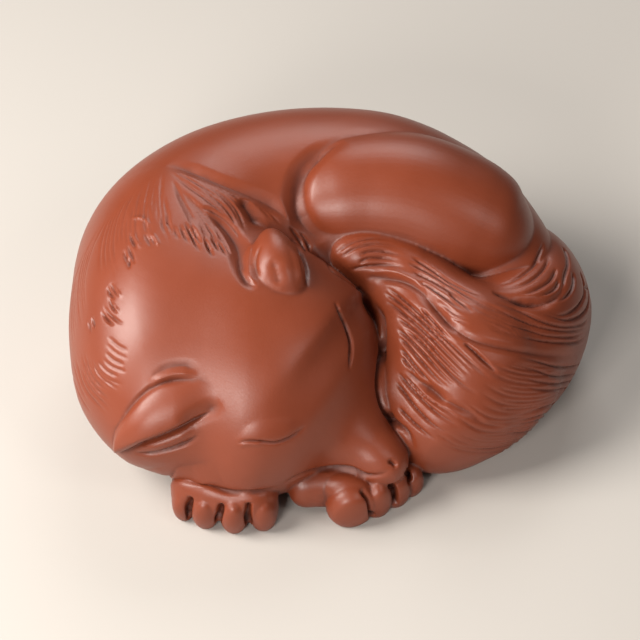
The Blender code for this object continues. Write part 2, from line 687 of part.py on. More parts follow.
def main():
    emptied_scene()
    fox = build()
    fox.data.materials.append(red_clay())
    home = bpy.data.collections.new("sleeping fox tea pet")
    bpy.context.scene.collection.children.link(home)
    home.objects.link(fox)
    bpy.context.scene.collection.objects.unlink(fox)


if __name__ == "__main__":
    main()
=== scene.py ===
# A sleeping fox in red clay, curled into a ring: the carved surface, the clay, the table and the light

import math

import bpy
import numpy as np
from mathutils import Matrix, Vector
from mathutils.bvhtree import BVHTree


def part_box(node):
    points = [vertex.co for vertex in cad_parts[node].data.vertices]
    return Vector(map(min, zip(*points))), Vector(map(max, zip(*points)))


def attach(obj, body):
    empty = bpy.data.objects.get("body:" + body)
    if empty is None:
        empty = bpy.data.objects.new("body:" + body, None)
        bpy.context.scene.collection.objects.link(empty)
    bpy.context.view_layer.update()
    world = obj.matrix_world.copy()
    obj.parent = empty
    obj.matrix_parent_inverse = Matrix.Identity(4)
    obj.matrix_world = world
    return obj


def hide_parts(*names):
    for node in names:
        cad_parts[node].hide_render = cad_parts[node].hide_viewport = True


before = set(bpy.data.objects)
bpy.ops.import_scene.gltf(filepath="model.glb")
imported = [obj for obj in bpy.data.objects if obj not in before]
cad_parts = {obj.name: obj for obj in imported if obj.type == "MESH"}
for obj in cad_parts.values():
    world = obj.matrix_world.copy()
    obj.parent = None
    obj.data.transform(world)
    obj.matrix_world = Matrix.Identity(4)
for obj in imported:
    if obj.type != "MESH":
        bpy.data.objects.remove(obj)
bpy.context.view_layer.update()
mm = 0.001
print("frame loaded")

# The square that the features are drawn on: 640 units a side, seen from in front and above
drawing = {
    "side": 640,
    "unitsPerMetre": 5275.0,
    "centre": Vector((-2.7, -1.5, 17.0)) * mm,
    "elevation": math.radians(44.0),
    "distance": 455 * mm,
}
sightUp = Vector((0, math.sin(drawing["elevation"]), math.cos(drawing["elevation"])))
sightBack = Vector((0, -math.cos(drawing["elevation"]), math.sin(drawing["elevation"])))
eyePoint = drawing["centre"] + sightBack * drawing["distance"]


# Soft forms

def pickOnly(*wanted):
    bpy.ops.object.select_all(action="DESELECT")
    for piece in wanted:
        piece.select_set(True)
    bpy.context.view_layer.objects.active = wanted[0]


def coordinates(mesh):
    flat = np.empty(len(mesh.vertices) * 3, np.float32)
    mesh.vertices.foreach_get("co", flat)
    return flat.reshape(-1, 3).astype(float)


def normalsOf(mesh):
    flat = np.empty(len(mesh.vertices) * 3, np.float32)
    mesh.vertex_normals.foreach_get("vector", flat)
    return flat.reshape(-1, 3).astype(float)


def setCoordinates(mesh, points):
    mesh.vertices.foreach_set("co", points.astype(np.float32).ravel())
    mesh.update()


def curveThrough(shares, values, wanted):
    shares, values = np.asarray(shares, float), np.asarray(values, float)
    steps = np.diff(shares)
    slopes = np.diff(values, axis=0) / steps[:, None]
    ends = np.empty_like(values)
    ends[0], ends[-1] = slopes[0], slopes[-1]
    ends[1:-1] = slopes[:-1] * steps[1:, None] + slopes[1:] * steps[:-1, None]
    ends[1:-1] /= (steps[1:] + steps[:-1])[:, None]
    spans = np.clip(np.searchsorted(shares, wanted, "right") - 1, 0, len(steps) - 1)
    width = steps[spans][:, None]
    t = ((wanted - shares[spans]) / steps[spans])[:, None]
    first, last = values[spans], values[spans + 1]
    level = first * (1 + 2 * t) * (1 - t) ** 2 + last * (3 - 2 * t) * t**2
    return level + width * (ends[spans] * t * (1 - t) ** 2 - ends[spans + 1] * t**2 * (1 - t))


def alongRoute(points, steps, span=(0, 1)):
    points = np.asarray(points, float)
    runs = np.linalg.norm(np.diff(points, axis=0), axis=1)
    shares = np.concatenate([[0.0], np.cumsum(runs)]) / runs.sum()
    return curveThrough(shares, points, np.linspace(*span, steps))


# A sphere drawn out along a route of rows
def softForm(name, rows, upright=(0, 0, 1), sides=64, rings=96):
    bpy.ops.object.select_all(action="DESELECT")
    bpy.ops.mesh.primitive_uv_sphere_add(segments=sides, ring_count=rings, radius=1.0)
    form = bpy.context.object
    form.name = name
    ball = coordinates(form.data)
    rows = np.asarray(rows, float) * mm
    runs = np.linalg.norm(np.diff(rows[:, :3], axis=0), axis=1)
    shares = np.concatenate([[0.0], np.cumsum(runs)]) / runs.sum()
    table = np.hstack([rows[:, :3], rows[:, 3:] ** 2])
    share = np.clip((ball[:, 2] + 1) / 2, 0, 1)
    found = curveThrough(shares, table, share)
    nudge = 1e-3
    ahead = curveThrough(shares, table[:, :3], np.clip(share + nudge, 0, 1))
    behind = curveThrough(shares, table[:, :3], np.clip(share - nudge, 0, 1))
    forward = ahead - behind
    forward /= np.linalg.norm(forward, axis=1)[:, None]
    side = np.cross(forward, np.asarray(upright, float))
    side /= np.linalg.norm(side, axis=1)[:, None]
    rise = np.cross(side, forward)
    half = np.sqrt(np.clip(found[:, 3:], 0, None))
    ring = np.maximum(np.hypot(ball[:, 0], ball[:, 1]), 1e-9)
    across, over = ball[:, 0] / ring, ball[:, 1] / ring
    tall = np.where(over > 0, half[:, 1], half[:, 2])
    aside = side * (across * half[:, 0])[:, None]
    upward = rise * (over * tall)[:, None]
    setCoordinates(form.data, found[:, :3] + aside + upward)
    bpy.ops.object.mode_set(mode="EDIT")
    bpy.ops.mesh.select_all(action="SELECT")
    bpy.ops.mesh.normals_make_consistent(inside=False)
    bpy.ops.object.mode_set(mode="OBJECT")
    return form


def applied(piece, kind, **settings):
    pickOnly(piece)
    modifier = piece.modifiers.new("shaping", kind)
    for name, value in settings.items():
        setattr(modifier, name, value)
    bpy.ops.object.modifier_apply(modifier=modifier.name)
    return piece


def pressedTogether(name, forms, voxel, rounds):
    pickOnly(*forms)
    bpy.ops.object.join()
    piece = bpy.context.object
    piece.name = name
    applied(piece, "REMESH", mode="VOXEL", voxel_size=voxel)
    if rounds:
        applied(piece, "SMOOTH", factor=0.5, iterations=rounds)
    return piece


def facingFrame(forward, facing):
    forward = Vector(forward).normalized()
    upright = (Vector(facing) - forward * Vector(facing).dot(forward)).normalized()
    return forward, upright, forward.cross(upright)


# The body, in millimetres: a row of a form is x, y, z, half width, height above and height below

leaning = (0, -0.72, 0.69)  # towards the line of sight, for forms that lie against the slope

head = {
    "centre": Vector((-19.4, -10.5, 21.0)),
    "forward": (0.79, -0.55, -0.27),
    "facing": (-0.07, -0.50, 0.84),
    "rows": [  # along the head, to the side, up, half width, above, below
        (-25, 1, -3, 0, 0, 0),
        (-21, 1, -2, 13, 11, 12),
        (-12, 1, -1, 19.5, 17, 18),
        (0, 1, 0, 22.5, 20, 21),
        (8, 1.5, 0, 23.5, 19.5, 20),
        (15.5, 2, -1, 23, 18, 18),
        (20.5, 1.5, -1.5, 20.3, 15.2, 16),
        (24.5, 1.2, -2, 15.6, 12, 13),
        (28, 1, -2.2, 10.4, 9, 10),
        (32, 1.1, -2.2, 6.9, 7, 6.8),
        (36.5, 1.2, -2.2, 5.4, 5.8, 5.2),
        (39.5, 1.1, -2.5, 3.9, 4.4, 4.0),
        (41.3, 1.0, -3, 0, 0, 0),
    ],
}


def makeSkull():
    forward, upright, side = facingFrame(head["forward"], head["facing"])
    rows = []
    for along, across, up, half, above, below in head["rows"]:
        rows.append((*(head["centre"] + forward * along + side * across + upright * up), half, above, below))
    return softForm("skull", rows, upright)


torso = [
    (-25, -34.5, 12, 0, 0, 0),
    (-27, -29.5, 14.2, 12.4, 11, 11),
    (-28.6, -21, 17.2, 18.4, 17, 17.4),
    (-28.8, -11, 20.3, 20.5, 20, 21.5),
    (-28.6, -1, 21.6, 20.9, 20.8, 23.4),
    (-27.6, 8, 22, 21, 21, 24),
    (-21, 16.7, 22, 21, 21, 24),
    (-10.5, 21.5, 22, 21.3, 21, 24),
    (0, 22.5, 22, 21.4, 21, 24),
    (8, 21.1, 22, 21.2, 21, 24),
    (14.8, 20, 21, 19.8, 20, 23),
    (20.7, 18, 20, 18, 18.5, 22),
    (27.3, 13.6, 18, 15.4, 16.5, 20),
    (32, 8, 16, 13.2, 14, 18),
    (35, -1, 13, 10, 11, 15),
    (36, -8, 12, 0, 0, 0),
]


def makeTorso():
    return softForm("torso", torso, rings=160)


haunch = [
    (-11.5, 14, 31, 0, 0, 0),
    (-8.5, 14.8, 31, 8, 9, 10),
    (-2, 16.2, 31, 11.5, 12.6, 14),
    (6, 17.3, 31, 12.8, 14, 15),
    (14, 17.0, 30.4, 13.3, 14.5, 15),
    (21, 15.4, 28.5, 13.3, 14.3, 14),
    (27, 13.8, 26.4, 12.6, 13.5, 13),
    (32, 12.3, 24.6, 10.3, 11.8, 11),
    (35.6, 11.5, 23.6, 6.8, 8.5, 8),
    (38, 11, 23, 0, 0, 0),
]


def makeHaunch():
    return softForm("haunch", haunch, upright=leaning)


filling = {  # what fills the ring under the head and the tail
    "core": [
        (-34, -12, 10, 0, 0, 0),
        (-18, -12, 10, 19, 12, 16),
        (0, -8, 10, 19, 12, 16),
        (15, -6, 10, 17, 12, 16),
        (34, -2, 9, 0, 0, 0),
    ],
    "web": [
        (-32, 3, 6, 0, 0, 0),
        (-20, 6, 6, 12, 9, 9),
        (-2, 9, 6, 15, 9, 9),
        (14, 9, 6, 14, 9, 9),
        (28, 5, 6, 11.5, 8, 9),
        (39, 2, 6, 0, 0, 0),
    ],
}


def makeFilling():
    return [softForm(name, rows) for name, rows in filling.items()]


tail = {
    "base": [
        (26, 23, 14, 0, 0, 0),
        (31, 21.5, 15, 6.5, 7, 11),
        (36, 17.5, 15, 7.5, 9, 13),
        (39.5, 11.5, 14.8, 8.2, 11, 14.5),
        (39.6, 5, 14.5, 10, 12.5, 15.5),
        (35.2, -3, 14, 12.6, 15, 15.5),
        (28.8, -9, 13, 14.6, 16, 15.5),
        (22.5, -15.6, 11.6, 14.2, 15, 14),
        (17.2, -18.4, 9.6, 11.8, 12, 12),
        (11.5, -15, 9, 0, 0, 0),
    ],
    "brush": [
        (40.5, -11.5, 9, 0, 0, 0),
        (37, -12, 11.5, 10, 9, 11),
        (30.8, -12.6, 13.5, 13, 14, 14.5),
        (24.5, -11.5, 16, 15.5, 15.5, 17),
        (18.5, -6, 19, 13, 14, 17),
        (13.6, 0, 23, 9.5, 10.5, 15),
        (8.4, 3.2, 27.2, 7, 7.5, 11),
        (3.3, 2.4, 30.4, 4.3, 4.6, 7),
        (-1, 2, 31.6, 0, 0, 0),
    ],
    "flank": [  # closes the slit beside the cheek
        (3.4, 1.2, 27.2, 0, 0, 0),
        (5.4, -1.0, 25.8, 1.5, 1.5, 2.5),
        (8.8, -3.6, 24.8, 1.8, 1.8, 2.5),
        (10.7, -8.8, 24.4, 2.3, 2.3, 3.5),
        (10.8, -11.9, 22.1, 2.3, 2.3, 3.5),
        (10.9, -14.9, 20.0, 2.3, 2.3, 3.5),
        (10.9, -18.5, 18.2, 2.3, 2.3, 3.5),
        (11.4, -21.5, 16.0, 2.3, 2.3, 3.5),
        (13.2, -24.1, 13.4, 2.2, 2.2, 3.0),
        (14.6, -26.7, 12.2, 1.6, 1.6, 2.5),
        (15.8, -28.5, 11.5, 0, 0, 0),
    ],
}


def makeTail():
    base = softForm("tail base", tail["base"])
    brush = softForm("brush", tail["brush"])
    flank = softForm("flank", tail["flank"], upright=leaning, sides=32, rings=48)
    return [base, brush, flank]


# Each toe: where it starts in the paw, its tip, its half width and its half height
toes = {
    "fullness": [(0.0, 0.0), (0.2, 0.85), (0.5, 1.0), (0.84, 1.0), (0.95, 0.72), (1.0, 0.0)],
    "left": [
        ((-26.8, -26, 4.6), (-27.8, -38.2, 3.0), 2.2, 4.2),
        ((-22.9, -27, 5.0), (-23.8, -40.2, 3.1), 2.6, 4.5),
        ((-18.3, -27, 5.2), (-18.4, -41.4, 3.2), 2.6, 4.7),
        ((-13.4, -26, 5.0), (-13.0, -40.8, 3.1), 2.65, 4.5),
    ],
    "right": [
        ((1.4, -28.5, 4.4), (3.5, -39.6, 3.6), 4.2, 4.6),
        ((5.0, -26.6, 4.4), (8.6, -37.0, 3.0), 2.7, 4.6),
        ((7.6, -25, 4.2), (12.4, -34.4, 2.6), 2.6, 4.2),
        ((10.0, -23, 3.8), (15.4, -31.6, 2.2), 2.2, 3.6),
    ],
}


paws = {
    "forearm": [
        (-8.6, -33.6, 4.6, 0, 0, 0),
        (-7.2, -33.6, 4.8, 2.6, 3.2, 3.4),
        (-3.6, -33.0, 5.2, 3.5, 4.0, 4.6),
        (2, -31.4, 5.2, 4.4, 4.2, 5.4),
        (8, -28.5, 4.2, 4.4, 3.2, 5.0),
        (13, -24, 3, 0, 0, 0),
    ],
    "right knuckle": [
        (-4, -33.2, 5.4, 0, 0, 0),
        (-1, -33.9, 5.9, 2.6, 2.8, 4),
        (1.5, -34.7, 6.2, 3.0, 3.2, 4),
        (4, -35.2, 6.0, 2.8, 3.0, 4),
        (7, -34.2, 5.4, 0, 0, 0),
    ],
    "left knuckles": [
        (-29, -32.5, 4.5, 0, 0, 0),
        (-27, -34.4, 5.2, 2.8, 3.4, 4.4),
        (-23, -36, 5.7, 3.4, 4.0, 5),
        (-18, -36.8, 5.9, 3.5, 4.1, 5),
        (-13.5, -36.4, 5.7, 3.4, 4.0, 5),
        (-11, -34.2, 4.8, 0, 0, 0),
    ],
    "left wrist": [
        (-29, -24, 5, 0, 0, 0),
        (-26, -28, 6, 4, 4, 5),
        (-20, -29.5, 7, 4.4, 4.2, 6),
        (-14, -28.5, 6, 4, 4, 5),
        (-10, -25, 5, 0, 0, 0),
    ],
}


def makePaws():
    forms = []
    for start, tip, half, rise in toes["left"] + toes["right"]:
        start, reach = Vector(start), Vector(tip) - Vector(start)
        rows = []
        for share, full in toes["fullness"]:
            rows.append((*(start + reach * share), half * full, rise * full, rise * full))
        forms.append(softForm("toe", rows, sides=32, rings=32))
    for name, rows in paws.items():
        forms.append(softForm(name, rows, sides=32, rings=32))
    return forms


rightEar = [
    (-9.6, -20.5, 31, 0, 0, 0),
    (-9.7, -17.5, 33.2, 4.2, 2.6, 6),
    (-10, -14.4, 35.7, 5.0, 3.8, 7),
    (-10.4, -11.2, 37.8, 5.1, 4.8, 8),
    (-11, -7.8, 38.8, 4.3, 4.7, 8),
    (-11.6, -4.8, 38.9, 3.0, 3.8, 6),
    (-12, -2.4, 38.2, 0, 0, 0),
]


def makeRightEar():
    return softForm("right ear", rightEar, sides=48, rings=48)


# Carving

class Carving:  # strokes are laid on the skin, then pressed in or raised along its normals
    def __init__(self, piece):
        self.mesh = piece.data
        self.points = coordinates(self.mesh)
        self.normals = normalsOf(self.mesh)
        self.pressed = np.zeros(len(self.points))
        self.raised = np.zeros(len(self.points))
        self.tree = treeOf(self.mesh)

    def seen(self, across, down):  # where the line of sight through a place on the drawing meets the skin
        middle = drawing["side"] / 2
        offset = Vector((across - middle, 0, 0)) + sightUp * (middle - down)
        place = drawing["centre"] + offset / drawing["unitsPerMetre"]
        hit = self.tree.ray_cast(eyePoint, (place - eyePoint).normalized())[0]
        return hit or self.tree.find_nearest(place)[0]

    def laid(self, points, steps, span):
        route = alongRoute(points, steps, span)
        if route.shape[1] == 2:
            return np.array([self.seen(*place) for place in route])
        return np.array([self.tree.find_nearest(Vector(place) * mm)[0] for place in route])

    def stroke(self, points, width, depth, steps=30, raised=False, tips=(0.25, 0.25), power=1.5,
               span=(0, 1)):
        route = self.laid(points, steps, span)
        width, depth = width * mm, depth * mm
        near = np.nonzero(np.all((self.points > route.min(axis=0) - width)
                                 & (self.points < route.max(axis=0) + width), axis=1))[0]
        if not len(near):
            return
        places = self.points[near]
        best = np.full(len(near), np.inf)
        share = np.zeros(len(near))
        for step in range(steps - 1):
            start, run = route[step], route[step + 1] - route[step]
            along = np.clip((places - start) @ run / max(run @ run, 1e-18), 0, 1)
            away = np.linalg.norm(places - start - along[:, None] * run, axis=1)
            closer = away < best
            best[closer] = away[closer]
            share[closer] = (step + along[closer]) / (steps - 1)
        ends = np.clip(share / tips[0], 0, 1) * np.clip((1 - share) / tips[1], 0, 1) if tips else 1.0
        amount = depth * ends * np.clip(1 - best / width, 0, 1) ** power
        target = self.raised if raised else self.pressed
        target[near] = np.maximum(target[near], amount)

    def drawnPlaces(self):  # every point of the skin, as across and down on the drawing
        offset = self.points - np.array(eyePoint)
        away = offset @ -np.array(sightBack)
        reach = drawing["unitsPerMetre"] * drawing["distance"]
        middle = drawing["side"] / 2
        return middle + reach * offset[:, 0] / away, middle - reach * (offset @ np.array(sightUp)) / away

    # Raises the skin between two drawn edges, fullest at a share of the way down, cut off at the lower edge
    def swell(self, upper, lower, height, fullest=0.75, tips=(0.1, 0.3), edge=0.08, steps=40, reach=25):
        across, down = self.drawnPlaces()
        above, below = alongRoute(upper, steps), alongRoute(lower, steps)
        left, right = max(above[0, 0], below[0, 0]), min(above[-1, 0], below[-1, 0])
        top = np.interp(across, above[:, 0], above[:, 1])
        bottom = np.interp(across, below[:, 0], below[:, 1])
        share = (down - top) / np.maximum(bottom - top, 0.5)
        along = (across - left) / (right - left)
        dome = 1 - ((share - fullest) / fullest) ** 2
        dome *= np.clip((1 - share) / edge + 0.5, 0, 1)
        fading = np.clip((1 - along) / tips[1], 0, 1)
        dome *= np.clip(along / tips[0], 0, 1) ** 0.5 * fading**2 * (3 - 2 * fading)
        facing = ((np.array(eyePoint) - self.points) * self.normals).sum(axis=1) > 0
        middle = np.array(self.seen(*((above[steps // 2] + below[steps // 2]) / 2)))
        close = np.linalg.norm(self.points - middle, axis=1) < reach * mm
        inside = facing & close & (share > 0) & (share < 1 + edge) & (along > 0) & (along < 1)
        self.raised[inside] = np.maximum(self.raised[inside], dome[inside] * height * mm)

    def settle(self):
        setCoordinates(self.mesh, self.points + self.normals * (self.raised - self.pressed)[:, None])


def treeOf(mesh):
    mesh.calc_loop_triangles()
    corners = [tuple(corner.co) for corner in mesh.vertices]
    return BVHTree.FromPolygons(corners, [tuple(facet.vertices) for facet in mesh.loop_triangles])


def hairsBetween(guides, count):
    guides = np.array([alongRoute(guide, 14) for guide in guides])
    made = []
    for place in np.linspace(0, len(guides) - 1, count):
        first = min(int(place), len(guides) - 2)
        made.append(guides[first] + (guides[first + 1] - guides[first]) * (place - first))
    return made


# Lines on the drawing: each place is across and down, in the drawing's units
face = {
    "leftEye": [(237, 443), (247, 441), (258, 441), (276, 442), (290, 437), (306, 426)],
    "leftLid": [(235, 440), (250, 424), (272, 418), (292, 418), (307, 424)],
    "rightEye": [(335, 301), (341, 315), (347, 329), (351, 343), (351, 356), (349, 371)],
    "earTop": [(115, 430), (131, 406), (149, 390), (162, 383), (177, 380), (197, 379), (218, 386)],
    "earCrease": [(117, 437), (131, 408), (149, 390), (160, 384), (172, 381), (184, 380), (197, 380)],
    "earSlit": [(115, 450), (120, 450), (147, 440), (172, 430), (193, 420), (218, 407)],
    "earHollow": [(180, 424), (196, 416), (212, 408), (222, 403)],
    "earRidge": [(150, 387), (158, 380), (168, 375), (180, 373), (190, 374), (198, 376)],
    "earBrow": [(152, 376), (168, 368), (184, 366), (200, 371)],
    "earInside": [(140, 449), (160, 444), (180, 436), (195, 428)],
    "earUnderside": [(134, 453), (150, 454), (165, 451), (180, 446), (190, 441), (198, 435)],
    "cheekRim": [(156, 468), (172, 475), (194, 478), (222, 480)],
    "leftLip": [(237, 445), (248, 443), (264, 444)],
    "cheekFold": [(168, 481), (182, 479), (197, 478)],
    "pawLine": [(178, 481), (194, 483), (212, 486), (227, 491), (245, 492), (267, 490), (280, 486)],
    "chinLine": [
        (283, 484), (296, 477), (309, 472), (330, 468), (351, 469), (368, 476), (380, 475), (392, 470),
    ],
    "nostril": [(391, 462), (393, 463), (395, 465)],
    "tailSlit": [(323, 254), (331, 269), (347, 281), (362, 292), (374, 303)],
    "headGap": [
        (372, 301), (381, 314), (383.5, 330), (382.5, 350), (379.5, 368), (378.5, 390), (383, 408),
        (394, 422), (408, 434), (414, 450),
    ],
    "haunchEdge": [
        (345, 141), (328, 148), (313, 159), (302, 174), (297, 193), (298, 214), (307, 230), (322, 243),
    ],
    "earFolds": [
        [(288, 224), (297, 236), (304, 247), (307, 254)],
        [(297, 229), (304, 237), (309, 246), (310, 253)],
        [(296, 244), (302, 257), (306, 272), (307, 287)],
    ],
    "earFoot": [(241, 244), (239, 258), (242, 271), (248, 281), (257, 288)],
    "earRim": [(257, 240), (250, 252), (248, 266), (251, 279), (259, 288)],
    "earCup": [(262, 243), (256, 255), (255, 269), (259, 281)],
    "earDip": [(272, 258), (276, 272), (280, 287)],
    "earBack": [(291, 245), (297, 258), (300, 272), (302, 287)],
    "toeGaps": [
        [(191, 496), (189, 506), (191, 524)], [(222, 503), (219, 516), (218, 532)],
        [(249, 502), (248, 516), (250, 533)], [(361, 489), (369, 500), (372, 516)],
        [(390, 484), (394, 492), (395, 504)], [(406, 470), (408, 476), (409, 484)],
    ],
    "earSwell": 1.9,
    "lidSwell": 0.35,
    "raised": {  # width and height in millimetres
        "earRidge": (1.2, 0.6), "earInside": (1.5, 0.6), "cheekRim": (4.2, 1.1), "earRim": (1.0, 0.5),
        "earBack": (1.3, 0.35), "leftLip": (0.8, 0.3),
    },
    "cut": {  # width and depth in millimetres
        "leftEye": (0.6, 0.6), "rightEye": (0.7, 1.1), "earSlit": (1.1, 1.5), "earHollow": (2.4, 0.6),
        "earBrow": (1.6, 0.3), "earUnderside": (0.8, 0.9), "earCrease": (1.0, 0.5),
        "cheekFold": (1.2, 0.5), "pawLine": (0.8, 0.6), "chinLine": (0.9, 0.9), "tailSlit": (0.9, 0.4),
        "headGap": (1.0, 1.8), "haunchEdge": (3.2, 1.5), "earFoot": (1.6, 1.1), "earCup": (1.0, 0.4),
        "earDip": (2.2, 0.45),
    },
    "foldWidth": 0.7,
    "foldDepth": 0.7,
    "toeGapWidth": 0.75,
    "toeGapDepth": 1.8,
    "nostrilWidth": 0.7,
    "nostrilDepth": 1.0,
}

